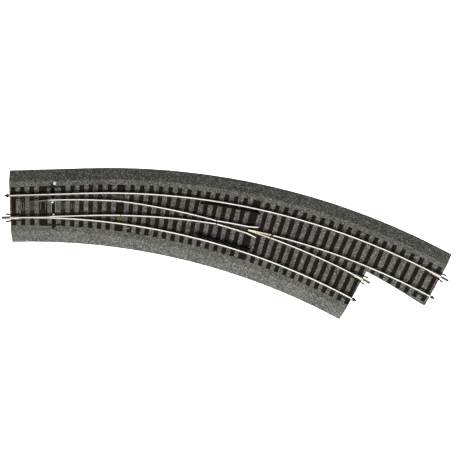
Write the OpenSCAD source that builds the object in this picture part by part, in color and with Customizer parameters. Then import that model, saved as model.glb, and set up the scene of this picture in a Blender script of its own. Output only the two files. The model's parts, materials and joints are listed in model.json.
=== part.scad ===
// Right-hand curved model railway turnout on a moulded ballast bed.
// +X runs along the toe tangent, +Y is to the left of travel, +Z is up.
// The origin is on the track centre line at the toe end, on the underside of the bed.
// Two routes leave the toe: the inner route curves at once, the outer route runs straight first.
// Both routes are described by the x of their arc centre, a distance s and an offset to the left.

/* [Track] */
// Distance between the inner faces of the rail heads
gauge = 16.5; // [16.5:0.05:16.6]
// Centre line radius of both curves
route_radius = 542.8; // [540:0.1:546]
// Angle turned by each route
route_angle = 30; // [29.8:0.1:30.2]
// Straight run of the outer route before it curves
lead = 61.6; // [61:0.1:62]

/* [Rail] */
// Height of the rail section
rail_h = 2.1; // [2.0:0.05:2.2]
// Width of the rail head
head_w = 0.9; // [0.85:0.05:0.95]
// Width of the rail foot
foot_w = 1.9; // [1.8:0.05:2.0]
// Distance between the centres of a running rail and the wing rail beside it
wing_gap = 2.5; // [2.4:0.05:2.6]
// Distance between the centres of a stock rail and its check rail
check_gap = 2.7; // [2.6:0.05:2.8]

/* [Sleepers] */
// Length of a plain sleeper
sleeper_l = 30; // [29:0.5:31]
// Width of a sleeper
sleeper_w = 3.3; // [3.2:0.05:3.4]
// Distance from one sleeper to the next
pitch = 7.275; // [7.25:0.025:7.3]
// Width of a double sleeper
twin_w = 6.3; // [6.2:0.05:6.4]

/* [Bed] */
// Half width of the bed at its underside
bed_foot = 28.4; // [28:0.1:29]
// Half width of the bed at its top
bed_crown = 19.2; // [18.5:0.1:20]
// Height of the ballast between the sleepers
bed_h = 5.6; // [5.5:0.05:5.7]

/* [Points] */
// Sideways travel of the throwbar
throw = 3.3; // [3.1:0.05:3.4]
// Distance from the toe to the throwbar
throwbar_x = 34.2; // [34:0.1:34.5]
// Distance from the toe to the blade pivots
heel_x = 86; // [85.5:0.1:86.3]
// Distance from the toe to the blade tips
tip_x = 14; // [13:0.5:16]

/* [Hidden] */
$fn = 256;

outer = lead;
inner = 0;
arc_l = route_radius * route_angle * PI / 180;
outer_end = lead + arc_l;
inner_end = arc_l;
rail_off = (gauge + head_w) / 2;
gauge_off = gauge / 2;
wing_off = rail_off - wing_gap;
check_off = rail_off - check_gap;
half_sleeper = sleeper_l / 2;
branch_edge = half_sleeper + 0.4;
outer_edge = 17.5;
open_angle = asin(throw / (heel_x - throwbar_x));

// Heights
sleeper_z = 6.3;
foot_z = 6.6;
strip_z = bed_h + 0.1;
strip_top = sleeper_z - 0.15;
seat_inset = 0.45;
slack = 0.05;

// Sleepers, as distances along the outer route
first_sleeper = 3.1;
toe_count = 3;
throw_bay = 15.8;
blade_count = 6;
blade_pitch = 7.2;
long_count = 13;
frog_count = 13;
outer_count = 7;
outer_pitch = 7.72;
twin_step = (twin_w - sleeper_w) / 2 + pitch;
toe_twin = first_sleeper + (toe_count - 1) * blade_pitch + twin_step;
blade_first = toe_twin + throw_bay;
heel_twin = blade_first + (blade_count - 1) * blade_pitch + twin_step;
long_first = heel_twin + twin_step;
frog_twin = long_first + (long_count - 1) * pitch + twin_step;
frog_first = frog_twin + twin_step;
outer_first = frog_first + (frog_count - 1) * pitch + 7.9;
twin_sleepers = [toe_twin, heel_twin, frog_twin];
plain_sleepers = concat(
    run(first_sleeper, toe_count, blade_pitch),
    run(blade_first, blade_count, blade_pitch),
    run(long_first, long_count, pitch),
    run(frog_first, frog_count, pitch)
);
// Distance and width of each sleeper that crosses both routes
shared_sleepers = concat(
    [for (s = plain_sleepers) [s, sleeper_w]],
    [for (s = twin_sleepers) [s, twin_w]]
);
outer_sleepers = run(outer_first, outer_count, outer_pitch);

// Where each running rail is cut
blade_heel = heel_x + 1.3;
closure_first = blade_heel + 0.6;
knuckle_outer = 164.2;
knuckle_inner = 162.2;
joint_gap = 0.5;
vee_first = 187.5;
vee_last = 205.6;
vee_last_outer = 209.9;
flare_l = 7.5;
wing_last = 190;

function run(first, count, step) = [for (i = [0 : count - 1]) first + i * step];

// Heading of a route at distance s, turning clockwise
function heading(x0, s) = s < x0 ? 0 : (s - x0) / route_radius * 180 / PI;

// A point at distance s and offset d from a route
function spot(x0, s, d) = let (a = heading(x0, s), r = route_radius + d)
    [min(s, x0) + r * sin(a), r * cos(a) - route_radius];

// Heading of the sleeper that crosses the outer route at distance s, square to the mean of both routes
function mean_heading(s) = let (a = heading(outer, s))
    atan((min(s, lead) / (2 * route_radius) + sin(a)) / cos(a));

// Sweeps a flat section, drawn as offset and height, from s0 to s1 along a route
module along(x0, s0, s1) {
    bend = max(s0, x0);
    if (s0 < x0)
        translate([s0, 0, 0])
            rotate([90, 0, 90])
                linear_extrude(min(s1, x0) - s0)
                    children();
    if (s1 > x0)
        translate([x0, -route_radius, 0])
            rotate(-heading(x0, bend))
                mirror([1, -1, 0])
                    rotate_extrude(angle = heading(x0, s1) - heading(x0, bend))
                        translate([route_radius, 0])
                            children();
}

// Puts its children on a route, with their +X along the track
module on_route(x0, s) {
    p = spot(x0, s, 0);
    translate([p.x, p.y, 0])
        rotate(-heading(x0, s))
            children();
}

// Puts its children at each of the three track ends, with their +X pointing outwards
module track_ends() {
    rotate(180) children();
    on_route(outer, outer_end) children();
    on_route(inner, inner_end) children();
}

module band(d0, d1, z0, z1) {
    translate([d0, z0]) square([d1 - d0, z1 - z0]);
}

module block(x0, x1, y0, y1, z0, z1) {
    translate([x0, y0, z0]) cube([x1 - x0, y1 - y0, z1 - z0]);
}

// Rail section, standing on the rail seats
module rail_section(d) {
    web = 0.22;
    half = [
        [foot_w / 2, 0], [foot_w / 2, 0.25], [web, 0.5], [web, rail_h - 0.65],
        [head_w / 2, rail_h - 0.5], [head_w / 2, rail_h - 0.1], [head_w / 2 - 0.1, rail_h]
    ];
    mirrored = [for (i = [len(half) - 1 : -1 : 0]) [-half[i].x, half[i].y]];
    translate([d, foot_z]) polygon(concat(half, mirrored));
}

module rail(x0, s0, s1, d) {
    along(x0, s0, s1) rail_section(d);
}

// A short straight rail that leaves a route at a small angle
module flared_rail(x0, s, d, turn) {
    on_route(x0, s)
        translate([0, d, 0])
            rotate(turn)
                rotate([90, 0, 90])
                    linear_extrude(flare_l)
                        rail_section(0);
}

// ---- Bed ----

module bed_body() {
    along(outer, 0, outer_end)
        polygon([[-outer_edge, 0], [bed_foot, 0], [bed_crown, bed_h], [-outer_edge, bed_h]]);
    along(inner, 0, inner_end)
        polygon([[-bed_foot, 0], [branch_edge, 0], [branch_edge, bed_h], [-bed_crown, bed_h]]);
}

// Cells that hollow the underside between stiffening ribs
module underside_cells() {
    cell_l = 22;
    step = 24.4;
    cell_top = 3;
    edge = 21;
    rib = 6.8;
    middle = 4.6;
    lane = 9;
    rows = [
        [outer, rib, edge, [4, 38], 0, 10], [inner, -edge, -rib, [4, 38], 0, 8],
        [outer, -lane, middle, [], 6, 10], [inner, -middle, lane, [], 6, 8]
    ];
    for (r = rows)
        for (s = concat(r[3], [for (i = [r[4] : r[5]]) lead + 1.4 + i * step]))
            along(r[0], s, s + cell_l) band(r[1], r[2], -2, cell_top);
}

// Room beside the outer route for the bed of the next inner piece
module branch_cut() {
    along(inner, inner_end, outer_end + lead)
        band(-bed_foot * 2, branch_edge, -1, sleeper_z * 2);
}

// Distance along the inner route where the sleeper at outer distance s crosses it
function inner_match(s) = (2 * mean_heading(s) - heading(outer, s)) * PI / 180 * route_radius;

// Distance between the two routes along that sleeper
function spread(s) = norm(spot(outer, s, 0) - spot(inner, inner_match(s), 0));

// Puts its children on a shared sleeper: +Y along it, starting on the inner route
module on_sleeper(s) {
    p = spot(inner, inner_match(s), 0);
    translate([p.x, p.y, 0])
        rotate(-mean_heading(s))
            children();
}

module sleepers() {
    w = sleeper_w / 2;
    for (t = shared_sleepers)
        on_sleeper(t[0])
            block(-t[1] / 2, t[1] / 2, -half_sleeper, spread(t[0]) + half_sleeper, bed_h, sleeper_z);
    difference() {
        for (s = outer_sleepers)
            on_route(outer, s)
                block(-w, w, -half_sleeper, half_sleeper, bed_h, sleeper_z);
        along(inner, inner_end, outer_end + lead)
            band(-bed_foot * 2, branch_edge + 0.6, bed_h - 1, sleeper_z + 1);
    }
}

// Rail seats on every sleeper, and slide plates below the blades
module rail_seats() {
    half = 1.7;
    reach = rail_off - 3.4;
    low = sleeper_z - 0.2;
    for (t = shared_sleepers)
        on_sleeper(t[0]) {
            s = t[0];
            w = t[1] / 2 - seat_inset;
            over = spread(s);
            low_stock = -rail_off;
            high_stock = over + rail_off;
            block(-w, w, low_stock - half, low_stock + half, low, foot_z);
            block(-w, w, high_stock - half, high_stock + half, low, foot_z);
            if (s > tip_x - 4 && s < heel_x - 5) {
                block(-w, w, low_stock + 0.1, over - rail_off + reach, low, foot_z);
                block(-w, w, rail_off - reach, high_stock - 0.1, low, foot_z);
            }
            if (s > closure_first)
                for (y = [over - rail_off, rail_off])
                    block(-w, w, y - half, y + half, low, foot_z);
        }
    w = sleeper_w / 2 - seat_inset;
    for (s = outer_sleepers)
        on_route(outer, s)
            for (side = [-1, 1])
                block(-w, w, side * rail_off - half, side * rail_off + half, low, foot_z);
}

// Strips below the rails that hold the sleepers together
module rail_strips() {
    half_w = 0.8;
    routes = [
        [outer, 1, 0.3, outer_end - 0.3], [inner, -1, 0.3, inner_end - 0.3],
        [outer, -1, closure_first, outer_end - 0.3], [inner, 1, closure_first, inner_end - 0.3]
    ];
    for (r = routes)
        along(r[0], r[2], r[3])
            band(r[1] * rail_off - half_w, r[1] * rail_off + half_w, strip_z, strip_top);
}

// Bars beside the throwbar, between the toe twin and the next sleeper
module bay_bars() {
    bar_w = 1.2;
    sag = throwbar_x * throwbar_x / (2 * route_radius);
    for (y = [half_sleeper - bar_w - 0.1, -half_sleeper - sag + 0.1])
        block(toe_twin, blade_first, y, y + bar_w, strip_z - 0.05, sleeper_z - 0.1);
}

// Connectors at a track end: a fork under the left rail and an arrow under the right rail
module end_clips() {
    clip_z = strip_z + 0.05;
    clip_top = sleeper_z - 0.05;
    prong_w = 1.0;
    prong_off = 2.45;
    for (side = [-1, 1]) {
        y = rail_off + side * prong_off;
        block(-11, -2, -y - prong_w / 2, -y + prong_w / 2, clip_z, clip_top);
        translate([0, rail_off, clip_z])
            scale([1, side, 1])
                linear_extrude(clip_top - clip_z)
                    polygon([[-11, 1.95], [0.5, 1.95], [3.5, 2.3], [3.5, 3.5], [1.2, 3.5], [0.6, 3.0], [-11, 3.0]]);
    }
    translate([0, -rail_off, clip_z])
        linear_extrude(clip_top - clip_z)
            polygon([
                [-4, -0.9], [0.7, -0.9], [1.0, -1.6], [3.9, -0.4],
                [3.9, 0.4], [1.0, 1.6], [0.7, 0.9], [-4, 0.9]
            ]);
}

slot_half = 1.6;
slot_end = half_sleeper + 3.5;
well_top = 4.6;

// Openings around the throwbar
module throwbar_openings() {
    floor_z = bar_z - 0.15;
    translate([throwbar_x, 0, 0]) {
        block(-slot_half, slot_half, -slot_end, slot_end, floor_z, sleeper_z);
        block(0, 2.6, half_sleeper + 0.9, slot_end - 0.2, -1, sleeper_z);
        block(-0.9, 0.9, -slot_end + 0.3, -half_sleeper + 3.5, -1, sleeper_z);
    }
    block(throwbar_x - 3.2, blade_first + 4.5, -6, 6, -1, well_top);
    translate([blade_first, 0, well_top - 1])
        cylinder(r = spring_post_r + 0.2, h = 3, $fn = 48);
}

module ballast_bed() {
    color([0.43, 0.43, 0.40])
        difference() {
            bed_body();
            branch_cut();
            underside_cells();
            throwbar_openings();
            heel_holes(1.2, 2);
            for (j = jumpers) jumper_shape(j, 0.3, -1);
            feed_tab_shape(0.3, -1);
            peg_holes();
        }
}

// ---- Sleeper frame ----

// Pegs that hold the sleepers to the bed
peg_places = concat(
    [for (s = [first_sleeper, blade_first + 2 * blade_pitch, heel_twin]) [s, 0]],
    [for (i = [2 : 3 : long_count - 1]) [long_first + i * pitch, 0]],
    [for (i = [1 : 3 : frog_count - 1]) [frog_first + i * pitch, 0]]
);

module sleeper_pegs(r, z) {
    for (p = peg_places)
        on_sleeper(p[0])
            for (y = [-half_sleeper + 2.5, spread(p[0]) + half_sleeper - 2.5])
                translate([0, y, z])
                    cylinder(r = r, h = bed_h - z + 0.2, $fn = 48);
}

module peg_holes() {
    sleeper_pegs(0.85, 3.3);
}

module sleeper_frame() {
    color([0.16, 0.10, 0.09])
        difference() {
            union() {
                sleepers();
                rail_strips();
                rail_seats();
                bay_bars();
                track_ends() end_clips();
                sleeper_pegs(0.8, 3.5);
                translate([blade_first, 0, 2.4])
                    cylinder(r = spring_post_r, h = bed_h - 2.2, $fn = 48);
            }
            track_ends()
                block(-7.3, 6, rail_off - 1.45, rail_off + 1.45, sleeper_z - 0.05, foot_z + 1);
            heel_plate_shape(outer, 0.1);
            heel_plate_shape(inner, 0.1);
            frog_plate_shape(0.1);
            heel_holes(0.8, 3);
            for (j = jumpers) jumper_shape(j, 0.15, 0);
            feed_tab_shape(0.15, 0);
        }
}

// ---- Stock rails and fixed rails ----

module steel() {
    color([0.78, 0.76, 0.70]) children();
}

module outer_stock_rail() {
    steel() rail(outer, 0, outer_end, rail_off);
}

module inner_stock_rail() {
    steel() rail(inner, 0, inner_end, -rail_off);
}

module curved_closure_rail() {
    steel() rail(inner, closure_first, knuckle_inner - joint_gap / 2, rail_off);
}

module straight_closure_rail() {
    steel() rail(outer, closure_first, knuckle_outer - joint_gap / 2, -rail_off);
}

module outer_vee_rail() {
    steel() rail(outer, vee_last_outer + joint_gap, outer_end, -rail_off);
}

module inner_vee_rail() {
    steel() rail(inner, vee_last + joint_gap, inner_end, rail_off);
}

// ---- Blades ----

// Everything a closed blade must clear: the stock rail's side of its own gauge face and foot
module stock_clearance(side) {
    face = head_w / 2 + 0.03;
    foot = foot_w / 2 + slack;
    scale([side, 1])
        translate([-rail_off, foot_z])
            polygon([[-4, -1], [foot, -1], [foot, 0.4], [face, 0.6], [face, 4], [-4, 4]]);
}

// The straight blade is drawn closed, against the curved inner stock rail
module straight_blade() {
    steel()
        difference() {
            rail(outer, tip_x, blade_heel, -rail_off);
            along(inner, 0, heel_x) stock_clearance(1);
        }
}

function heel_spot(x0) = x0 == inner ? spot(inner, heel_x, rail_off) : spot(outer, heel_x, -rail_off);

// Swings the curved blade from closed to its rest position, open
module swung() {
    p = heel_spot(inner);
    translate([p.x, p.y, 0])
        rotate(open_angle)
            translate([-p.x, -p.y, 0])
                children();
}

module curved_blade() {
    steel()
        swung()
            difference() {
                rail(inner, tip_x, blade_heel, rail_off);
                along(outer, 0, lead) stock_clearance(-1);
                translate([lead, 0, 0])
                    rotate([90, 0, 90])
                        linear_extrude(heel_x - lead)
                            stock_clearance(-1);
            }
}

heel_pin_r = 0.6;

module heel_pin(x0) {
    p = heel_spot(x0);
    color("goldenrod")
        translate([p.x, p.y, foot_z - 1.6])
            cylinder(r = heel_pin_r, h = 1.6, $fn = 48);
}

module heel_holes(r, depth) {
    for (x0 = [outer, inner])
        translate([heel_spot(x0).x, heel_spot(x0).y, foot_z - depth])
            cylinder(r = r, h = depth + 0.1, $fn = 48);
}

module curved_blade_heel_pin() {
    heel_pin(inner);
}

module straight_blade_heel_pin() {
    heel_pin(outer);
}

// Drive pins stand below the blades and drop into the throwbar
drive_pin_r = 0.45;
drive_pin_l = 2.0;
drive_inset = 0.4;

module drive_pin(p) {
    color("goldenrod")
        translate([p.x, p.y, foot_z - drive_pin_l])
            cylinder(r = drive_pin_r, h = drive_pin_l, $fn = 48);
}

closed_drive = [throwbar_x, rail_off - throwbar_x * throwbar_x / (2 * route_radius) - drive_inset];
straight_drive = [throwbar_x, -rail_off + drive_inset];

module curved_blade_drive_pin() {
    swung() drive_pin(closed_drive);
}

module straight_blade_drive_pin() {
    drive_pin(straight_drive);
}

// ---- Throwbar and its spring ----

bar_top = bed_h - 0.05;
bar_z = 4.3;
bar_half = 1.3;
lug_r = 1.4;
spring_post_r = 0.6;
bar_mid = -throw / 2;
lug_y = 14.8;
peg_r = 0.5;
socket_r = 0.75;
socket_depth = 0.9;
// Half the distance a drive pin moves along the track as its blade swings
pin_drift = 0.1;

module throwbar() {
    heel = heel_spot(inner);
    arm = closed_drive - heel;
    open_drive = heel + [
        arm.x * cos(open_angle) - arm.y * sin(open_angle),
        arm.x * sin(open_angle) + arm.y * cos(open_angle)
    ];
    color([0.10, 0.08, 0.08])
        difference() {
            translate([throwbar_x, bar_mid, 0]) {
                block(-bar_half, bar_half, -lug_y, lug_y, bar_z, bar_top);
                for (side = [-1, 1])
                    translate([0, side * lug_y, bar_z])
                        cylinder(r = lug_r, h = bar_top - bar_z, $fn = 64);
                translate([0, 0, 2.6]) cylinder(r = peg_r, h = bar_z - 2.5, $fn = 48);
            }
            translate([throwbar_x, bar_mid - lug_y, bar_z - 1])
                cylinder(r = socket_r, h = socket_depth + 1, $fn = 48);
            for (p = [straight_drive + [pin_drift, 0], open_drive + [pin_drift, 0]])
                translate([p.x, p.y, bar_z - 1])
                    cylinder(r = drive_pin_r + 0.22, h = 4, $fn = 48);
        }
}

// Wire spring that holds the throwbar at either end of its travel
module toggle_spring() {
    wire = 0.2;
    eye = peg_r + 0.2 + wire;
    anchor_eye = spring_post_r + 0.05 + wire;
    loop_r = 1.6;
    span = blade_first - throwbar_x;
    turn = atan(bar_mid / span);
    reach = norm([span, bar_mid]);
    z = 3.3;
    color("silver")
        translate([blade_first, 0, z])
            rotate(180 + turn) {
                rotate_extrude($fn = 48) translate([anchor_eye, 0]) circle(r = wire, $fn = 24);
                translate([reach, 0, 0])
                    rotate_extrude($fn = 48) translate([eye, 0]) circle(r = wire, $fn = 24);
                translate([reach / 2, 0, 0])
                    rotate_extrude(angle = 180, $fn = 48)
                        translate([loop_r, 0]) circle(r = wire, $fn = 24);
                for (leg = [[anchor_eye, reach / 2 - loop_r], [reach / 2 + loop_r, reach - eye]])
                    translate([leg[0], 0, 0])
                        rotate([0, 90, 0])
                            cylinder(r = wire, h = leg[1] - leg[0], $fn = 24);
            }
}

// ---- Heel plates ----

// Contact plate below a blade heel and the stock rail beside it
module heel_plate_shape(x0, grow) {
    blade = heel_spot(x0);
    stock = x0 == inner ? [heel_x, rail_off] : spot(inner, heel_x, -rail_off);
    lift = 1.1 + grow;
    low = min(blade.y, stock.y) - lift;
    high = max(blade.y, stock.y) + lift;
    block(heel_x - 2.3 - grow, heel_x + 3.9 + grow, low, high, sleeper_z, foot_z + grow);
}

module heel_plate(x0) {
    color([0.42, 0.40, 0.22])
        difference() {
            heel_plate_shape(x0, 0);
            heel_holes(heel_pin_r + slack, 3);
        }
}

module outer_heel_plate() {
    heel_plate(inner);
}

module inner_heel_plate() {
    heel_plate(outer);
}

// ---- Frog ----

// The plate fills the room below both wing rails
module frog_plate_shape(grow) {
    first = knuckle_outer + 1.5 - grow;
    plate_l = 39.5 + 2 * grow;
    edge = wing_off - 1.1 - grow;
    intersection() {
        along(outer, first, first + plate_l) band(-rail_off * 2.5, -edge, sleeper_z, foot_z + grow);
        along(inner, first - 4, first + plate_l) band(edge, rail_off * 2.5, sleeper_z - 1, foot_z + 1);
    }
}

module frog_base_plate() {
    color([0.30, 0.30, 0.20]) frog_plate_shape(0);
}

module outer_wing_rail() {
    steel() {
        rail(outer, knuckle_outer + joint_gap / 2, wing_last, -wing_off);
        flared_rail(outer, wing_last - 0.01, -wing_off, 8);
    }
}

module inner_wing_rail() {
    steel() {
        rail(inner, knuckle_inner + joint_gap + 0.3, vee_first, wing_off);
        flared_rail(inner, vee_first - 0.01, wing_off, -8);
    }
}

// The vee fills the wedge between the gauge faces of the two crossing rails
module frog_vee() {
    groove = 0.5;
    top = foot_z + rail_h;
    steel()
        difference() {
            intersection() {
                along(outer, vee_first, vee_last_outer)
                    band(-rail_off * 2, -gauge_off, foot_z, top);
                along(inner, vee_first, vee_last)
                    band(gauge_off, rail_off * 2, foot_z, top);
            }
            intersection() {
                along(outer, vee_first, outer_end)
                    band(-rail_off * 2, -gauge_off - head_w, top - groove, top + 1);
                along(inner, vee_first, inner_end)
                    band(gauge_off + head_w, rail_off * 2, top - groove, top + 1);
            }
        }
}

// Plastic spacers in the four cuts that isolate the frog
module frog_insulators() {
    color([0.12, 0.12, 0.12]) {
        t = joint_gap / 2 - 0.02;
        rail(outer, knuckle_outer - t, knuckle_outer + t, -rail_off);
        rail(inner, knuckle_inner - t, knuckle_inner + t, rail_off);
        rail(outer, vee_last_outer + 0.05, vee_last_outer + joint_gap - slack, -rail_off);
        rail(inner, vee_last + 0.05, vee_last + joint_gap - slack, rail_off);
    }
}

// ---- Check rails ----

check_first = 155;
check_last = 191;
check_w = 0.9;
check_top = foot_z + rail_h + 0.1;

module check_section() {
    foot = 0.85;
    step = foot_z + 0.2;
    web = foot_z + 0.4;
    half = check_w / 2;
    polygon([
        [-foot, sleeper_z], [foot, sleeper_z], [foot, step], [half, web],
        [half, check_top], [-half, check_top], [-half, web], [-foot, step]
    ]);
}

module check_rail(x0, s0, s1, side) {
    flare = 5.5;
    color([0.09, 0.08, 0.08]) {
        along(x0, s0, s1) translate([side * check_off, 0]) check_section();
        for (end = [[s0 + 0.1, 180, 1], [s1 - 0.1, 0, -1]])
            on_route(x0, end[0])
                translate([0, side * check_off, 0])
                    rotate(end[1] + end[2] * side * 7)
                        rotate([90, 0, 90])
                            linear_extrude(flare)
                                check_section();
    }
}

module outer_check_rail() {
    check_rail(outer, check_first, check_last, 1);
}

module inner_check_rail() {
    check_rail(inner, check_first - 1.5, check_last - 2.5, -1);
}

// ---- Rail joiners ----

module rail_joiner() {
    wall = 0.2;
    play = 0.06;
    half = foot_w / 2 + play;
    lip = 0.55;
    section = [
        [-half - wall, -0.25], [half + wall, -0.25], [half + wall, lip], [0.55, lip + 0.25],
        [0.45, lip + 0.1], [half, lip - 0.15], [half, -0.02], [-half, -0.02],
        [-half, lip - 0.15], [-0.45, lip + 0.1], [-0.55, lip + 0.25], [-half - wall, lip]
    ];
    color([0.72, 0.70, 0.62])
        translate([-7, rail_off, foot_z])
            rotate([90, 0, 90])
                linear_extrude(13.7)
                    polygon(section);
}

module toe_rail_joiner() {
    rotate(180) rail_joiner();
}

module outer_rail_joiner() {
    on_route(outer, outer_end) rail_joiner();
}

module inner_rail_joiner() {
    on_route(inner, inner_end) rail_joiner();
}

// ---- Jumpers that feed the rails beyond the frog ----

// Each jumper joins two rails in the bay after a sleeper: bay distance, then its two rails
jumpers = [
    [frog_first + pitch * 2.5, 1, 1],
    [frog_first + pitch * 4.5, -1, -1]
];
jumper_z = 3.5;

// The strip, grown on all sides, and down to a given height where it sits in an open channel
module jumper_shape(j, grow, floor_z) {
    s = j[0];
    y0 = j[1] * rail_off;
    y1 = spread(s) + j[2] * rail_off;
    w = 0.5 + grow;
    on_sleeper(s) {
        block(-w, w, y0 - 0.4 - grow, y1 + 0.4 + grow,
              floor_z < 0 ? floor_z : jumper_z - grow, jumper_z + 0.4 + grow);
        for (y = [y0, y1])
            block(-w, w, y - 0.4 - grow, y + 0.4 + grow, jumper_z, foot_z);
    }
}

module jumper(j) {
    color([0.72, 0.52, 0.25]) jumper_shape(j, 0, 0);
}

module outer_jumper() {
    jumper(jumpers[0]);
}

module inner_jumper() {
    jumper(jumpers[1]);
}

// Tab below the frog plate for the polarity wire
module feed_tab_shape(grow, floor_z) {
    on_route(outer, knuckle_outer + 8)
        block(-0.5 - grow, 0.5 + grow, -9.3 - grow, -6.3 + grow, floor_z, sleeper_z);
}

module frog_feed_tab() {
    color([0.72, 0.52, 0.25]) feed_tab_shape(0, 1);
}

ballast_bed();
sleeper_frame();
outer_stock_rail();
inner_stock_rail();
curved_blade();
straight_blade();
curved_closure_rail();
straight_closure_rail();
outer_wing_rail();
inner_wing_rail();
frog_vee();
frog_base_plate();
outer_vee_rail();
inner_vee_rail();
outer_check_rail();
inner_check_rail();
outer_heel_plate();
inner_heel_plate();
curved_blade_heel_pin();
straight_blade_heel_pin();
curved_blade_drive_pin();
straight_blade_drive_pin();
throwbar();
toggle_spring();
toe_rail_joiner();
outer_rail_joiner();
inner_rail_joiner();
outer_jumper();
inner_jumper();
frog_feed_tab();
frog_insulators();
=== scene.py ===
"""Looks for the model turnout switch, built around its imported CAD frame."""

import json
import math
from collections import namedtuple

import bmesh
import bpy
import numpy as np
from mathutils import Matrix, Vector, noise
from mathutils.bvhtree import BVHTree


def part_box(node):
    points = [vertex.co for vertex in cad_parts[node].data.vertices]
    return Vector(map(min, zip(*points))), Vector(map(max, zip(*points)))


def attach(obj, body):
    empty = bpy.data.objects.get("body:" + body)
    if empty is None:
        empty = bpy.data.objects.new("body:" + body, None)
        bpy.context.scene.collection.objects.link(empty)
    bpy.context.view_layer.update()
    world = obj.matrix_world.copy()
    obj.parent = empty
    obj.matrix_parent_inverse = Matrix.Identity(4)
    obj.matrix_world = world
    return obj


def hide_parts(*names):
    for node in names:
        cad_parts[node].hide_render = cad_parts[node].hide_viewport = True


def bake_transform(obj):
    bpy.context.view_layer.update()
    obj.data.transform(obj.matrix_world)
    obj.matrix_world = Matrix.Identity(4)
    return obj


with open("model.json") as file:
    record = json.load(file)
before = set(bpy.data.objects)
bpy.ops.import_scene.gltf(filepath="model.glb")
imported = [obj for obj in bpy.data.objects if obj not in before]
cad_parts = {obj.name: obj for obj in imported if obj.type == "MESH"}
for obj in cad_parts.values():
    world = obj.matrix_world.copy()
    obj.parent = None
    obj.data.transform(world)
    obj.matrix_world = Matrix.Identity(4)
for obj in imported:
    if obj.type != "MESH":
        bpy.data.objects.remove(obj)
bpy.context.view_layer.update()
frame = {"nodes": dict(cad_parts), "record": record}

# ---- Driving sizes, in millimetres along a route or across it ----

MM = 0.001
RADIUS = 542.8  # of the curve of both routes
LEAD = 61.6  # straight part of the outer route
OUTER, INNER = LEAD, 0.0  # where each route starts to curve
RAIL_OFF = 8.7  # middle of a rail from the middle of its track
FOOT_HALF = 1.1  # half the width of a rail's foot, with room beside it
FOOT_Z = 6.6  # underside of the rails

SLEEPER_W = 3.3
TWIN_W = 6.3  # the wide sleepers at the toe, the heels and the frog
HALF_SLEEPER = 15.0
SLEEPER_RISE = 0.7  # sleeper top above the bed
PITCH = 7.275
BLADE_PITCH = 7.2
OUTER_PITCH = 7.72
OUTER_GAP = 7.9  # from the last long sleeper to the first of the outer route alone
FIRST_SLEEPER = 3.1
THROW_BAY = 15.8  # between the middles of the sleepers beside the throwbar
BRANCH_EDGE = HALF_SLEEPER + 0.4  # edge of the inner track's bed, where the sleepers beside it stop

WING_OFF = 6.2  # middle of a wing rail from the middle of its track
WINGS_END = 197.5
PLATE_START, PLATE_END = 165.7, 205.2
BLADES_END = 81.0
CLOSURE_START = 87.9
HEEL_TAB_AT = 94.8


def mm_box(node):
    """Lowest and highest corner of a CAD node, in millimetres."""
    low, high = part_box(node)
    return [v / MM for v in low], [v / MM for v in high]


BED_TOP = mm_box("ballast_bed")[1][2]
SLEEPER_TOP = BED_TOP + SLEEPER_RISE
RAIL_TOP = mm_box("outer_stock_rail")[1][2]
BAR_LOW, BAR_HIGH = mm_box("throwbar")
BAR_X = (BAR_LOW[0] + BAR_HIGH[0]) / 2
BAR_Y = (BAR_LOW[1] + BAR_HIGH[1]) / 2


# ---- The two routes: each is straight up to x0 and curves from there ----


def heading(x0, s):
    """Angle that a route has turned to the right at distance s."""
    return max(0.0, s - x0) / RADIUS


def spot(x0, s, d):
    """Point at distance s along a route and offset d to its left."""
    a = heading(x0, s)
    r = RADIUS + d
    return Vector((min(s, x0) + r * math.sin(a), r * math.cos(a) - RADIUS, 0))


def mean_heading(s):
    """Heading of the sleeper that lies across both routes at distance s of the outer one."""
    a = heading(OUTER, s)
    return math.atan((min(s, LEAD) / (2 * RADIUS) + math.sin(a)) / math.cos(a))


def inner_match(s):
    """Distance along the inner route where that sleeper crosses it."""
    return (2 * mean_heading(s) - heading(OUTER, s)) * RADIUS


def spread(s):
    """Distance between the two routes at that sleeper."""
    return (spot(OUTER, s, 0) - spot(INNER, inner_match(s), 0)).length


def series(first, count, step):
    return [first + i * step for i in range(count)]


# ---- Where the sleepers lie ----

TWIN_STEP = (TWIN_W - SLEEPER_W) / 2 + PITCH
TOE_TWIN = FIRST_SLEEPER + 2 * BLADE_PITCH + TWIN_STEP
BLADE_FIRST = TOE_TWIN + THROW_BAY
HEEL_TWIN = BLADE_FIRST + 5 * BLADE_PITCH + TWIN_STEP
LONG_FIRST = HEEL_TWIN + TWIN_STEP
FROG_TWIN = LONG_FIRST + 12 * PITCH + TWIN_STEP
FROG_FIRST = FROG_TWIN + TWIN_STEP
OUTER_FIRST = FROG_FIRST + 12 * PITCH + OUTER_GAP
PLAIN = (
    series(FIRST_SLEEPER, 3, BLADE_PITCH)
    + series(BLADE_FIRST, 6, BLADE_PITCH)
    + series(LONG_FIRST, 13, PITCH)
    + series(FROG_FIRST, 13, PITCH)
)
SHARED = [(s, SLEEPER_W) for s in PLAIN] + [(s, TWIN_W) for s in (TOE_TWIN, HEEL_TWIN, FROG_TWIN)]
OUTER_ONLY = series(OUTER_FIRST, 7, OUTER_PITCH)


def placed(origin, angle):
    """Matrix of a sleeper's own axes: +Y along it, origin on a route."""
    return Matrix.Translation(origin) @ Matrix.Rotation(-angle, 4, "Z")


# Its own axes, its ends and width, the stock rails and other rails that cross it, and its distance
Sleeper = namedtuple("Sleeper", "at low high width stocks inside s")


def shared_at(s):
    """Matrix of a sleeper below both routes, with its origin on the inner route."""
    return placed(spot(INNER, inner_match(s), 0), mean_heading(s))


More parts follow.
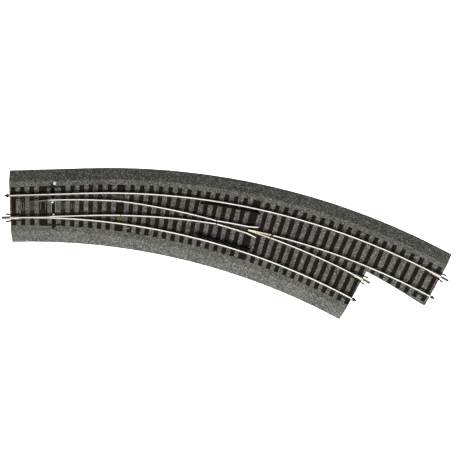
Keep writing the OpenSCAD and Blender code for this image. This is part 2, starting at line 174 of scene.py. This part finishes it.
def cut_end(at):
    """Low end of a sleeper of the outer route that stops beside the inner track's bed."""
    step = 0.02
    reach = RADIUS + BRANCH_EDGE + 0.6
    centre = Vector((0, -RADIUS, 0))
    low = -HALF_SLEEPER
    for side in (-SLEEPER_W / 2, SLEEPER_W / 2):
        while (at @ Vector((side, low, 0)) - centre).length < reach:
            low += step
    return low


def sleeper_list():
    out = []
    for s, width in SHARED:
        over = spread(s)
        stocks = [-RAIL_OFF, over + RAIL_OFF]
        inside = [over - RAIL_OFF, RAIL_OFF] if s > CLOSURE_START else []
        out.append(Sleeper(shared_at(s), -HALF_SLEEPER, over + HALF_SLEEPER, width, stocks, inside, s))
    for s in OUTER_ONLY:
        at = placed(spot(OUTER, s, 0), heading(OUTER, s))
        stocks = [RAIL_OFF, -RAIL_OFF]
        out.append(Sleeper(at, cut_end(at), HALF_SLEEPER, SLEEPER_W, stocks, [], s))
    return out


# ---- Materials ----


class Look:
    """A node material, with short calls for the nodes it is made of."""

    def __init__(self, name):
        self.mat = bpy.data.materials.new(name)
        self.mat.use_nodes = True
        self.nodes = self.mat.node_tree.nodes
        self.links = self.mat.node_tree.links
        self.shader = self.nodes["Principled BSDF"]
        self.coords = self.nodes.new("ShaderNodeTexCoord").outputs["Object"]

    def set(self, **values):
        """Set or link inputs of the shader, with _ for a space in an input's name."""
        for key, value in values.items():
            self.feed(self.shader.inputs[key.replace("_", " ")], value)

    def node(self, kind, **settings):
        n = self.nodes.new(kind)
        for key, value in settings.items():
            setattr(n, key, value)
        return n

    def noise(self, per_mm, detail=4.0, rough=0.6, coords=None, stretch=None):
        n = self.node("ShaderNodeTexNoise")
        n.inputs["Scale"].default_value = 1.0
        n.inputs["Detail"].default_value = detail
        n.inputs["Roughness"].default_value = rough
        self.links.new(self.scaled(per_mm, coords, stretch), n.inputs["Vector"])
        return n.outputs["Fac"]

    def cells(self, per_mm):
        n = self.node("ShaderNodeTexVoronoi")
        n.inputs["Scale"].default_value = 1.0
        self.links.new(self.scaled(per_mm), n.inputs["Vector"])
        return n.outputs["Distance"]

    def scaled(self, per_mm, coords=None, stretch=None):
        """Coordinates in which one unit is 1 / per_mm millimetres."""
        m = self.node("ShaderNodeMapping")
        k = per_mm / MM
        sx, sy, sz = stretch or (1, 1, 1)
        m.inputs["Scale"].default_value = (k * sx, k * sy, k * sz)
        self.links.new(coords or self.coords, m.inputs["Vector"])
        return m.outputs["Vector"]

    def ramp(self, fac, *stops):
        """Colour ramp through stops of (position, grey or colour)."""
        n = self.node("ShaderNodeValToRGB")
        elements = n.color_ramp.elements
        while len(elements) < len(stops):
            elements.new(0.5)
        for e, (pos, col) in zip(elements, stops):
            e.position = pos
            e.color = (*col, 1) if isinstance(col, tuple) else (col, col, col, 1)
        self.links.new(fac, n.inputs["Fac"])
        return n.outputs["Color"]

    def feed(self, socket, value):
        """Link a node's output to a socket, or set the socket to a number or a colour."""
        if isinstance(value, bpy.types.NodeSocket):
            self.links.new(value, socket)
        elif isinstance(value, tuple) and len(value) == 3:
            socket.default_value = (*value, 1)
        else:
            socket.default_value = value

    def mix(self, fac, a, b):
        n = self.node("ShaderNodeMix", data_type="RGBA")
        for i, value in ((0, fac), (6, a), (7, b)):
            self.feed(n.inputs[i], value)
        return n.outputs[2]

    def math(self, op, a, b):
        n = self.node("ShaderNodeMath", operation=op)
        for i, value in enumerate((a, b)):
            self.feed(n.inputs[i], value)
        return n.outputs[0]

    def attribute(self, name):
        return self.node("ShaderNodeAttribute", attribute_name=name).outputs["Fac"]

    def axis(self, name):
        """One coordinate of the object's own space, in metres."""
        split = self.node("ShaderNodeSeparateXYZ")
        self.links.new(self.coords, split.inputs[0])
        return split.outputs[name]

    def height(self):
        """Height in millimetres."""
        return self.math("MULTIPLY", self.axis("Z"), 1 / MM)

    def along_x(self, middle_mm, span_mm=20.0):
        """0 to 1 over a span of X around a place."""
        x = self.math("SUBTRACT", self.axis("X"), (middle_mm - span_mm / 2) * MM)
        return self.math("DIVIDE", x, span_mm * MM)

    def bump(self, height, mm):
        """Add a bump of so many millimetres on top of the earlier ones."""
        n = self.node("ShaderNodeBump")
        n.inputs["Strength"].default_value = 1.0
        n.inputs["Distance"].default_value = mm * MM
        self.links.new(height, n.inputs["Height"])
        last = self.shader.inputs["Normal"]
        if last.is_linked:
            self.links.new(last.links[0].from_socket, n.inputs["Normal"])
        self.links.new(n.outputs["Normal"], last)
        return self


def look_ballast():
    """Grey stones, each with its own tone, darkened as painted shade in the gaps between them, with dust
    over them.
    """
    k = Look("ballast_stones")
    stone = k.attribute("stone")
    # The stone attribute holds each stone's own tone plus painted shade in the gaps between stones.
    colour = k.ramp(
        stone,
        (0.0, (0.010, 0.010, 0.009)),
        (0.25, (0.040, 0.041, 0.037)),
        (0.50, (0.114, 0.115, 0.103)),
        (0.80, (0.208, 0.208, 0.184)),
        (1.0, (0.320, 0.315, 0.270)),
    )
    dust = k.noise(0.035, 3)
    colour = k.mix(k.ramp(dust, (0.35, 0.0), (0.75, 0.3)), colour, (0.115, 0.114, 0.098))
    k.set(Base_Color=colour, Roughness=k.ramp(stone, (0, 0.62), (1, 0.9)), Specular_IOR_Level=0.15)
    return k.bump(k.noise(4.0, 5), 0.04).mat


def look_bed():
    """Moulded bed below the stones."""
    k = Look("bed_plastic")
    colour = k.ramp(k.noise(1.6, 4), (0.3, (0.038, 0.038, 0.035)), (0.7, (0.105, 0.104, 0.096)))
    rough = k.ramp(colour, (0.0, 0.65), (0.2, 0.85))
    k.set(Base_Color=colour, Roughness=rough, Specular_IOR_Level=0.15)
    k.bump(k.cells(1.3), 0.10)
    return k.bump(k.noise(5.0, 4), 0.03).mat


def look_sleeper():
    """Dark brown wood grain that runs along each sleeper; its map is in millimetres."""
    k = Look("sleeper_plastic")
    uv = k.node("ShaderNodeUVMap", uv_map="grain").outputs["UV"]
    fine = k.noise(3.0 * MM, 6, 0.65, uv, (1.0, 0.10, 1.0))
    broad = k.noise(0.6 * MM, 3, 0.5, uv, (1.0, 0.25, 1.0))
    colour = k.ramp(
        fine,
        (0.25, (0.002, 0.001, 0.001)),
        (0.55, (0.007, 0.003, 0.003)),
        (0.85, (0.026, 0.014, 0.014)),
    )
    colour = k.mix(k.ramp(broad, (0.5, 0.0), (0.85, 0.5)), colour, (0.026, 0.017, 0.017))
    rough = k.ramp(fine, (0.2, 0.5), (0.8, 0.72))
    k.set(Base_Color=colour, Roughness=rough, Specular_IOR_Level=0.06)
    return k.bump(fine, 0.07).mat


def look_frame():
    """Dark brown plastic of the sleeper frame, chairs and end clips."""
    k = Look("frame_plastic")
    grain = k.noise(2.0, 5)
    colour = k.ramp(grain, (0.3, (0.004, 0.002, 0.002)), (0.8, (0.016, 0.009, 0.008)))
    rough = k.ramp(grain, (0.2, 0.45), (0.8, 0.65))
    k.set(Base_Color=colour, Roughness=rough, Specular_IOR_Level=0.12)
    return k.bump(k.noise(6.0, 3), 0.02).mat


def look_black():
    """Black plastic of the throwbar, check rails and spacers."""
    k = Look("black_plastic")
    worn = k.ramp(k.noise(0.9, 5), (0.45, 0.0), (0.8, 0.5))
    colour = k.mix(worn, (0.0015, 0.0012, 0.0012), (0.007, 0.006, 0.006))
    rough = k.ramp(k.noise(2.5, 4), (0.3, 0.42), (0.8, 0.62))
    k.set(Base_Color=colour, Roughness=rough, Specular_IOR_Level=0.06)
    return k.bump(k.noise(7.0, 3), 0.015).mat


def look_rail(name, bright=(0.74, 0.72, 0.655), deep=0.62, hatch=False, dull_before=None):
    """Rail with a rubbed bright head above a web painted dark as shade; the head starts deep below the
    rail's top.
    """
    k = Look(name)
    level = k.math("SUBTRACT", k.height(), RAIL_TOP - deep)
    top = k.ramp(level, (0.0, 0.0), (0.25, 1.0))
    rubbed = k.noise(0.25, 4)
    head = k.mix(k.ramp(rubbed, (0.35, 0.0), (0.75, 1.0)), bright, tuple(c * 0.90 for c in bright))
    # Painted shade: the web and foot below the head get a dark tone.
    painted_web_shade = k.ramp(k.noise(1.2, 5), (0.3, (0.010, 0.008, 0.006)), (0.8, (0.050, 0.040, 0.030)))
    if dull_before is not None:
        head = k.mix(k.ramp(k.along_x(dull_before), (0.42, 1.0), (0.58, 0.0)), head, (0.20, 0.185, 0.14))
    colour = k.mix(top, painted_web_shade, head)
    rough_top = k.ramp(k.noise(1.1, 4, 0.7), (0.3, 0.20), (0.8, 0.34))
    k.set(Base_Color=colour, Metallic=k.ramp(top, (0, 0.55), (1, 0.96)))
    k.set(Roughness=k.mix(top, (0.55, 0.55, 0.55), rough_top))
    if hatch:
        wave = k.node("ShaderNodeTexWave")
        wave.inputs["Scale"].default_value = 1.0
        wave.inputs["Distortion"].default_value = 0.6
        k.links.new(k.scaled(0.55, None, (1, 0.4, 1)), wave.inputs["Vector"])
        k.bump(wave.outputs["Fac"], 0.03)
    return k.bump(k.noise(5.0, 4), 0.006).mat


def look_metal(name, low, high, rough, per_mm=1.4, metallic=1.0):
    """Mottled metal between two tones."""
    k = Look(name)
    tone = k.noise(per_mm, 5, 0.65)
    k.set(Base_Color=k.ramp(tone, (0.3, low), (0.75, high)), Metallic=metallic)
    k.set(Roughness=k.ramp(k.noise(per_mm * 2.3, 4), (0.3, rough), (0.8, min(1.0, rough + 0.22))))
    return k.bump(k.noise(per_mm * 5, 3), 0.01).mat


def plate_look(name, low, high):
    """Toned contact plate, more paint than metal."""
    return look_metal(name, low, high, 0.6, metallic=0.3)


def look_joiner():
    """Pressed sheet: bright lips above a floor painted dark as shade."""
    k = Look("joiner_metal")
    unshaded_lip = k.ramp(k.math("SUBTRACT", k.height(), FOOT_Z + 0.1), (0.0, 0.0), (0.35, 1.0))
    tone = k.noise(1.4, 5, 0.65)
    bright = k.ramp(tone, (0.3, (0.19, 0.175, 0.13)), (0.75, (0.36, 0.335, 0.27)))
    # Painted shade: the floor between the lips gets a dark tone.
    painted_floor_shade = k.ramp(tone, (0.3, (0.020, 0.018, 0.014)), (0.75, (0.07, 0.062, 0.048)))
    k.set(Base_Color=k.mix(unshaded_lip, painted_floor_shade, bright), Metallic=k.ramp(unshaded_lip, (0, 0.3), (1, 0.6)))
    k.set(Roughness=k.ramp(k.noise(3.2, 4), (0.3, 0.52), (0.8, 0.7)))
    return k.bump(k.noise(7.0, 3), 0.01).mat


def look_floor():
    """Pale floor that lets a camera below it see the object."""
    k = Look("pale_floor")
    k.set(Base_Color=k.ramp(k.noise(0.004, 2), (0.3, 0.90), (0.7, 0.94)), Roughness=0.85)
    k.set(Emission_Color=(1, 1, 1, 1), Emission_Strength=0.66)
    side = k.node("ShaderNodeNewGeometry").outputs["Backfacing"]
    see_through = k.node("ShaderNodeBsdfTransparent").outputs[0]
    both = k.node("ShaderNodeMixShader")
    for socket, source in zip(both.inputs, (side, k.shader.outputs[0], see_through)):
        k.links.new(source, socket)
    k.links.new(both.outputs[0], k.nodes["Material Output"].inputs["Surface"])
    return k.mat


# ---- Mesh helpers ----


def new_object(name, verts_mm, faces, mat, smooth=True):
    """Object from vertices in millimetres."""
    mesh = bpy.data.meshes.new(name)
    mesh.from_pydata([tuple(v) for v in np.asarray(verts_mm, float) * MM], [], faces)
    mesh.materials.append(mat)
    mesh.polygons.foreach_set("use_smooth", [smooth] * len(mesh.polygons))
    mesh.update()
    obj = bpy.data.objects.new(name, mesh)
    bpy.context.scene.collection.objects.link(obj)
    return obj


def sharp_by_angle(obj, degrees):
    """Shade edges sharp where faces meet at more than an angle."""
    mesh = obj.data
    limit = math.radians(degrees)
    bm = bmesh.new()
    bm.from_mesh(mesh)
    for e in bm.edges:
        e.smooth = len(e.link_faces) == 2 and e.calc_face_angle(4.0) < limit
    bm.to_mesh(mesh)
    bm.free()


def finish_piece(obj, body, sharp_degrees=40):
    """Shade a piece, and give it its body."""
    sharp_by_angle(obj, sharp_degrees)
    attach(obj, body)


class Batch:
    """Collects copies of small meshes into one mesh."""

    def __init__(self):
        self.verts, self.faces, self.count = [], [], 0

    def add(self, shape, matrix=None):
        verts, faces = shape
        v = np.asarray(verts, float)
        if matrix is not None:
            m = np.array(matrix)
            v = v @ m[:3, :3].T + m[:3, 3]
        self.verts.append(v)
        self.faces += [tuple(i + self.count for i in f) for f in faces]
        self.count += len(v)

    def shape(self):
        return np.vstack(self.verts), self.faces

    def build(self, name, mat):
        return new_object(name, *self.shape(), mat)


def bevelled_box(x0, x1, y0, y1, z0, z1, r):
    """Vertices and faces of a box with rounded edges."""
    bm = bmesh.new()
    bmesh.ops.create_cube(bm, size=1.0)
    for v in bm.verts:
        v.co = Vector((
            x0 if v.co.x < 0 else x1,
            y0 if v.co.y < 0 else y1,
            z0 if v.co.z < 0 else z1,
        ))
    bmesh.ops.bevel(bm, geom=bm.edges[:], offset=r, segments=2, profile=0.5, affect="EDGES")
    bm.verts.ensure_lookup_table()
    verts = [tuple(v.co) for v in bm.verts]
    faces = [tuple(v.index for v in f.verts) for f in bm.faces]
    bm.free()
    return verts, faces


def dome(radius, height, z, sides=14):
    """A rivet or bolt head: a low dome on a short cylinder."""
    rings = 4
    verts = []
    levels = [(radius, z), (radius, z + height * 0.4)]
    for i in range(1, rings):
        a = math.pi / 2 * i / rings
        levels.append((radius * math.cos(a), z + height * (0.4 + 0.6 * math.sin(a))))
    for r, h in levels:
        for k in range(sides):
            a = 2 * math.pi * k / sides
            verts.append((r * math.cos(a), r * math.sin(a), h))
    verts.append((0, 0, z + height))
    faces = ring_faces(len(levels), sides)
    last = (len(levels) - 1) * sides
    for k in range(sides):
        faces.append((last + k, last + (k + 1) % sides, len(verts) - 1))
    return verts, faces


def ring_faces(rings, size):
    """Quads between closed rings of points."""
    faces = []
    for i in range(rings - 1):
        for k in range(size):
            n = (k + 1) % size
            faces.append((i * size + k, i * size + n, (i + 1) * size + n, (i + 1) * size + k))
    return faces


def loft_faces(rings, size):
    """Quads between closed rings of points, with both ends capped."""
    last = (rings - 1) * size
    caps = [tuple(reversed(range(size))), tuple(range(last, last + size))]
    return ring_faces(rings, size) + caps


def hash01(a, b):
    """Repeatable number from 0 to 1 for a pair of numbers."""
    return (math.sin(a * 12.9898 + b * 78.233) * 43758.5453) % 1.0


# ---- Ballast ----

STONE_MM = 0.85
STONE_HIGH = 0.55
GRID_MM = 0.27
GRID_EDGE = 0.06  # first grid line from the edge of the bed's box


def bed_surface():
    """Heights of the bed's open surface on a square grid, NaN beside the bed and over its openings."""
    bed = frame["nodes"]["ballast_bed"]
    tree = BVHTree.FromPolygons(
        [tuple(v.co) for v in bed.data.vertices], [tuple(p.vertices) for p in bed.data.polygons]
    )
    low, high = mm_box("ballast_bed")
    xs = np.arange(low[0] + GRID_EDGE, high[0], GRID_MM)
    ys = np.arange(low[1] + GRID_EDGE, high[1], GRID_MM)
    z = np.full((len(xs), len(ys)), np.nan)
    above = 0.02
    down = Vector((0, 0, -1))
    for i, x in enumerate(xs):
        for j, y in enumerate(ys):
            hit, normal, _, _ = tree.ray_cast(Vector((x * MM, y * MM, above)), down)
            if hit is None:
                continue
            h = hit.z / MM
            floor_of_opening = normal.z > 0.99 and h < BED_TOP - 0.05
            if not floor_of_opening:
                z[i, j] = h
    return xs, ys, z


def stone(x, y):
    """Height and brightness of the stone at a place, each from 0 to 1."""
    rim = 0.42
    distances, points = noise.voronoi(Vector((x / STONE_MM, y / STONE_MM, 0.5)))
    seed = points[0]
    tone = hash01(seed.x, seed.y + seed.z)
    size = hash01(seed.y + 3.1, seed.x - seed.z)
    edge = min(1.0, max(0.0, (distances[1] - distances[0]) / rim))
    crown = 1 - (1 - edge) ** 2
    return crown * (0.35 + 0.65 * size), tone


def ballast_layer(mat):
    """Stones over the whole open surface of the bed, with their tone and a painted shade in the gaps
    between them as an attribute.
    """
    xs, ys, z = bed_surface()
    open_mask = ~np.isnan(z)
    inside = open_mask.copy()
    for axis in (0, 1):
        for step in (-1, 1):
            inside &= np.roll(open_mask, step, axis=axis)
    inside[[0, -1], :] = False
    inside[:, [0, -1]] = False
    index = np.full(z.shape, -1)
    verts, tone_and_gap_shade = [], []
    for i, j in np.argwhere(open_mask):
        x, y = float(xs[i]), float(ys[j])
        lift, tone = stone(x, y)
        index[i, j] = len(verts)
        rise = 0.03 + STONE_HIGH * lift if inside[i, j] else -0.08
        verts.append((x, y, z[i, j] + rise))
        # Painted shade: the tone is darkened where the surface is low in the gaps between stones.
        tone_and_gap_shade.append(0.03 + 0.30 * lift + 0.62 * tone * (0.30 + 0.70 * lift))
    faces = []
    quads = open_mask[:-1, :-1] & open_mask[1:, :-1] & open_mask[1:, 1:] & open_mask[:-1, 1:]
    for i, j in np.argwhere(quads):
        faces.append((index[i, j], index[i + 1, j], index[i + 1, j + 1], index[i, j + 1]))
    obj = new_object("ballast_stones", verts, [tuple(int(k) for k in f) for f in faces], mat)
    layer = obj.data.attributes.new("stone", "FLOAT", "POINT")
    layer.data.foreach_set("value", tone_and_gap_shade)
    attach(obj, "track")


# ---- Sleepers ----


def sleeper_rings(low, high, width, seed):
    """Rings of a grained sleeper in its own axes, and the grain coordinates of their points."""
    skin = 0.03
    half = width / 2 + skin
    edge = 0.14
    taper, slight = 0.12, 0.03
    bottom = BED_TOP - 0.05
    top = SLEEPER_TOP + skin
    across = [-half, -half, -half + edge * 0.4, -half + edge]
    inner = np.linspace(-half + edge, half - edge, max(5, int(width / 0.3)))[1:-1]
    across += list(inner) + [half - edge, half - edge * 0.4, half, half]
    heights = [bottom, top - edge, top - edge * 0.35, top]
    heights += [top] * len(inner) + [top, top - edge * 0.35, top - edge, bottom]
    ys = [low - 0.03, low + 0.02]
    count = max(8, int((high - low) / 0.42))
    ys += list(np.linspace(low + 0.12, high - 0.12, count)) + [high - 0.02, high + 0.03]
    rings, coords = [], []
    for k, y in enumerate(ys):
        shrink = {0: taper, 1: slight, len(ys) - 2: slight, len(ys) - 1: taper}.get(k, 0.0)
        ring = []
        for x, h in zip(across, heights):
            px = x * (1 - shrink / half)
            pz = h
            if h > bottom:
                pz -= shrink
                grain = noise.noise(Vector((x * 2.6, y * 0.22, seed)))
                knot = noise.noise(Vector((x * 0.9, y * 0.5, seed + 7)))
                pz += 0.045 * grain + 0.02 * knot
                px += 0.02 * noise.noise(Vector((y * 0.7, seed, x)))
            ring.append((px, y, pz))
            coords.append((x + seed * 13.7, y + seed * 5.3))
        rings.append(ring)
    return rings, coords


def sleepers(mat):
    """Grained shells over the sleepers, open below."""
    batch = Batch()
    grain = []
    for n, sleeper in enumerate(sleeper_list()):
        rings, coords = sleeper_rings(sleeper.low, sleeper.high, sleeper.width, n + 0.37)
        size = len(rings[0])
        verts = [p for ring in rings for p in ring]
        faces = []
        for r in range(len(rings) - 1):
            for k in range(size - 1):
                a = r * size + k
                faces.append((a, a + size, a + size + 1, a + 1))
        faces.append(tuple(range(size)))
        last = (len(rings) - 1) * size
        faces.append(tuple(reversed(range(last, last + size))))
        batch.add((verts, faces), sleeper.at)
        grain += coords
    obj = batch.build("sleeper_tops", mat)
    uv = obj.data.uv_layers.new(name="grain")
    loops = np.empty(len(obj.data.loops), int)
    obj.data.loops.foreach_get("vertex_index", loops)
    uv.data.foreach_set("uv", np.array(grain)[loops].ravel())
    finish_piece(obj, "track", 50)


# ---- Rail fastenings ----

CHAIR_REACH = 2.1  # end of a chair from the middle of its rail


def chair_side():
    """One side of a rail chair, with the rail at y = 0 and this side at +y: base, clip and bolt."""
    batch = Batch()
    base_z = SLEEPER_TOP - 0.05
    batch.add(bevelled_box(-1.25, 1.25, 0.99, 2.05, base_z, FOOT_Z + 0.05, 0.08))
    batch.add(bevelled_box(-0.62, 0.62, 0.62, 1.5, FOOT_Z - 0.05, FOOT_Z + 0.5, 0.12))
    batch.add(dome(0.27, 0.34, FOOT_Z), Matrix.Translation((0, 1.72, 0)))
    return batch.shape()


def chairs(mat):
    """Chairs at every rail seat; beside a blade a stock rail has them on its outer side only."""
    side = chair_side()
    flip = Matrix.Rotation(math.pi, 4, "Z")
    batch = Batch()
    for sleeper in sleeper_list():
        shifts = [0.0] if sleeper.width < TWIN_W else [-1.5, 1.5]
        for y in sleeper.stocks + sleeper.inside:
            upper = y > (sleeper.low + sleeper.high) / 2
            one_side = y in sleeper.stocks and sleeper.s < BLADES_END
            for shift in shifts:
                at = sleeper.at @ Matrix.Translation((shift, y, 0))
                if (upper or not one_side) and y + CHAIR_REACH < sleeper.high:
                    batch.add(side, at)
                if not (upper and one_side):
                    batch.add(side, at @ flip)
    obj = batch.build("rail_chairs", mat)
    finish_piece(obj, "track")


# ---- Points ----


def blade_tab(name, pin, inward, body, mat):
    """The lug that ties a blade to its drive pin, with its rivet."""
    low, high = mm_box(pin)
    x, y = (low[0] + high[0]) / 2, (low[1] + high[1]) / 2
    batch = Batch()
    at = Matrix.Translation((x, y, 0))
    y0, y1 = sorted((0.2 * inward, 1.9 * inward))
    batch.add(bevelled_box(-0.75, 0.75, y0, y1, FOOT_Z + 0.02, FOOT_Z + 0.34, 0.06), at)
    batch.add(dome(0.42, 0.42, FOOT_Z + 0.3), at @ Matrix.Translation((0, 1.35 * inward, 0)))
    finish_piece(batch.build(name, mat), body)


def sleeper_pads(mat):
    """U-shaped ridges on the sleepers around the throwbar, between the rails."""
    batch = Batch()
    wide = 0.4
    low, high = SLEEPER_TOP - 0.13, SLEEPER_TOP + 0.18
    places = [
        (FIRST_SLEEPER + BLADE_PITCH, 1.0),
        (FIRST_SLEEPER + 2 * BLADE_PITCH, 1.0),
        (TOE_TWIN, 2.1),
        (BLADE_FIRST, 1.0),
        (BLADE_FIRST + BLADE_PITCH, 1.0),
    ]
    for s, half in places:
        at = shared_at(s) @ Matrix.Translation((0, spread(s) / 2, 0))
        for side in (-1, 1):
            x0, x1 = sorted((side * half, side * (half - wide)))
            batch.add(bevelled_box(x0, x1, -3.2, 4.0, low, high, 0.06), at)
        batch.add(bevelled_box(-half, half, -3.4, -2.9, low, high, 0.06), at)
    finish_piece(batch.build("sleeper_pads", mat), "track")


def brass_tab(mat):
    """Soldering tab beside the inner heel, with a hole's rim."""
    batch = Batch()
    at = placed(spot(INNER, HEEL_TAB_AT, -RAIL_OFF - 2.7), heading(INNER, HEEL_TAB_AT))
    batch.add(bevelled_box(-1.3, 1.3, -0.6, 0.6, BED_TOP - 0.1, FOOT_Z + 0.1, 0.08), at)
    batch.add(dome(0.4, 0.2, FOOT_Z + 0.08), at)
    finish_piece(batch.build("inner_heel_tab", mat), "track")


def frog_plate(mat):
    """Plate below the wing rails, cut back to the foot of the vee past their flared ends."""
    chamfer = 0.06
    low = mm_box("frog_base_plate")[0][2]
    stations = [(s, WING_OFF - FOOT_HALF) for s in np.linspace(PLATE_START, WINGS_END, 28)]
    stations += [(s, RAIL_OFF - 0.9) for s in np.linspace(WINGS_END + 1.2, PLATE_END, 8)]
    verts = []
    for s, edge in stations:
        left = spot(OUTER, s, -edge)
        right = spot(INNER, inner_match(s), edge)
        inward = (right - left).normalized() * chamfer
        section = [(left, low), (left, FOOT_Z - chamfer), (left + inward, FOOT_Z)]
        section += [(right - inward, FOOT_Z), (right, FOOT_Z - chamfer), (right, low)]
        verts += [(p.x, p.y, z) for p, z in section]
    faces = loft_faces(len(stations), len(section))
    obj = new_object("frog_plate", verts, faces, mat, smooth=False)
    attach(obj, "track")
    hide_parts("frog_base_plate")


def throwbar_detail(mat):
    """Cross ribs, a long ridge and end buttons moulded on the throwbar."""
    batch = Batch()
    top = BAR_HIGH[2]
    at = Matrix.Translation((BAR_X, BAR_Y, 0))
    for y in (-13.2, -5.6, -1.2, 3.4, 11.6):
        batch.add(bevelled_box(-1.05, 1.05, y - 0.35, y + 0.35, top - 0.1, top + 0.32, 0.1), at)
    batch.add(bevelled_box(0.67, 1.03, -12.6, 11.0, top - 0.1, top + 0.22, 0.05), at)
    for y in (-14.8, 14.8):
        batch.add(dome(0.95, 0.3, top - 0.02, 20), at @ Matrix.Translation((0, y, 0)))
    finish_piece(batch.build("throwbar_ribs", mat), "throwbar_slider")


def toggle_wire(mat):
    """The two-position spring: an eye round its post, a half loop and an eye round the throwbar's peg."""
    low, high = mm_box("toggle_spring")
    wire = 0.2
    sides = 10
    z = (low[2] + high[2]) / 2
    post = Vector((BLADE_FIRST, 0, z))
    peg = Vector((BAR_X, BAR_Y, z))
    ahead = (peg - post).normalized()
    left = Vector((-ahead.y, ahead.x, 0))
    reach = (peg - post).length

    def arc(centre, radius, start, turn, steps, rise=0.0):
        out = []
        for i in range(steps + 1):
            a = math.radians(start + turn * i / steps)
            p = centre + ahead * (radius * math.cos(a)) + left * (radius * math.sin(a))
            out.append(p + Vector((0, 0, rise * i / steps)))
        return out

    path = arc(post, 0.85, 350, -350, 26, -0.05)
    path += arc(post + ahead * (reach / 2), 1.4, 180, -180, 22)
    path += arc(peg, 0.9, 180, -350, 26, 0.05)
    verts = []
    for i, p in enumerate(path):
        run = (path[min(i + 1, len(path) - 1)] - path[max(i - 1, 0)]).normalized()
        across = run.cross(Vector((0, 0, 1))).normalized()
        up = across.cross(run)
        for k in range(sides):
            a = 2 * math.pi * k / sides
            verts.append(p + across * (wire * math.cos(a)) + up * (wire * math.sin(a)))
    obj = new_object("toggle_wire", verts, loft_faces(len(path), sides), mat)
    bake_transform(obj)
    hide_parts("toggle_spring")


# ---- Put it together ----

LOOKS = {
    "ballast": look_bed(),
    "sleeper_plastic": look_frame(),
    "black_plastic": look_black(),
    "rail_metal": look_rail("rail_metal"),
    "olive_metal": plate_look("dark_plate", (0.008, 0.009, 0.005), (0.030, 0.032, 0.019)),
    "brass": look_metal("brass", (0.45, 0.30, 0.12), (0.78, 0.58, 0.28), 0.28),
    "joiner_metal": look_joiner(),
    "spring_wire": look_metal("spring_wire", (0.40, 0.40, 0.40), (0.75, 0.75, 0.74), 0.2, 3.0),
}
blade_look = look_rail("blade_metal", dull_before=31.5)
OWN_LOOKS = {
    "curved_blade": blade_look,
    "straight_blade": blade_look,
    "frog_vee": look_rail("frog_metal", (0.72, 0.67, 0.52), 0.42, hatch=True),
    "outer_heel_plate": plate_look("grey_plate", (0.010, 0.011, 0.008), (0.030, 0.033, 0.024)),
    "inner_heel_plate": plate_look("toned_plate", (0.030, 0.028, 0.010), (0.075, 0.069, 0.028)),
}
slots = {p["node"]: p["material_slot"] for p in frame["record"]["subparts"]}
for node, obj in frame["nodes"].items():
    obj.data.materials.clear()
    obj.data.materials.append(OWN_LOOKS.get(node, LOOKS[slots[node]]))

ballast_layer(look_ballast())
sleepers(look_sleeper())
chairs(LOOKS["sleeper_plastic"])
throwbar_detail(LOOKS["black_plastic"])
lug_look = look_metal("bright_lug", (0.75, 0.74, 0.70), (0.92, 0.91, 0.88), 0.22)
blade_tab("curved_blade_lug", "curved_blade_drive_pin", -1, "curved_blade_arm", lug_look)
blade_tab("straight_blade_lug", "straight_blade_drive_pin", 1, "straight_blade_arm", lug_look)
toggle_wire(LOOKS["spring_wire"])
sleeper_pads(look_metal("pad_plastic", (0.03, 0.028, 0.026), (0.17, 0.165, 0.155), 0.6, metallic=0.0))
frog_plate(LOOKS["olive_metal"])
brass_tab(look_metal("dull_brass", (0.09, 0.072, 0.030), (0.17, 0.135, 0.065), 0.5, metallic=0.4))


# ---- Stage, light and camera ----

CENTRE = Vector((171.8, -23.1, 0))


def floor():
    half = 3000
    below = 0.05
    n = 24
    grid = np.linspace(-half, half, n)
    verts = [(x, y, -below) for x in grid for y in grid]
    faces = [
        (i * n + j, (i + 1) * n + j, (i + 1) * n + j + 1, i * n + j + 1)
        for i in range(n - 1)
        for j in range(n - 1)
    ]
    new_object("floor", verts, faces, look_floor())


def area_light(name, position_mm, target_mm, size_mm, watts, colour=(1, 1, 1)):
    """Square light that faces its target."""
    data = bpy.data.lights.new(name, "AREA")
    data.shape = "SQUARE"
    data.size = size_mm * MM
    data.energy = watts
    data.color = colour
    obj = bpy.data.objects.new(name, data)
    obj.location = Vector(position_mm) * MM
    aim = Vector(target_mm) - Vector(position_mm)
    obj.rotation_mode = "QUATERNION"
    obj.rotation_quaternion = aim.to_track_quat("-Z", "Y")
    bpy.context.scene.collection.objects.link(obj)


def lights():
    """A key light from the lower left, a weak one from the right and a wide one above."""
    azimuth, elevation, far = math.radians(-122), math.radians(42), 2200
    key_dir = Vector((
        math.cos(azimuth) * math.cos(elevation),
        math.sin(azimuth) * math.cos(elevation),
        math.sin(elevation),
    ))
    area_light("key", CENTRE + key_dir * far, CENTRE, 420, 68, (1.0, 0.99, 0.97))
    area_light("side", (560, -430, 520), (280, -60, 0), 260, 4.4)
    area_light("overhead", CENTRE + Vector((60, 0, 1900)), CENTRE, 1100, 6)
    world = bpy.data.worlds.new("studio")
    world.use_nodes = True
    background = world.node_tree.nodes["Background"]
    background.inputs["Color"].default_value = (1, 1, 1, 1)
    background.inputs["Strength"].default_value = 0.15
    bpy.context.scene.world = world


def camera():
    """Long lens almost straight above, leaning a little to the outer side."""
    target = Vector((171.78, -23.14, 0)) * MM
    distance = 1110 * MM
    tilt, roll, turn = (math.radians(a) for a in (3.17, -0.47, 1.65))
    look = Matrix.Rotation(turn, 3, "Z") @ Matrix.Rotation(roll, 3, "Y") @ Matrix.Rotation(tilt, 3, "X")
    back = look.transposed()
    data = bpy.data.cameras.new("camera")
    data.sensor_width = 36
    data.lens = 110.358
    data.shift_y = 0.00055
    data.clip_start, data.clip_end = 0.01, 20
    obj = bpy.data.objects.new("camera", data)
    obj.matrix_world = Matrix.Translation(target + back @ Vector((0, 0, distance))) @ back.to_4x4()
    bpy.context.scene.collection.objects.link(obj)
    bpy.context.scene.camera = obj


floor()
lights()
camera()
bpy.context.scene.view_settings.view_transform = "Standard"
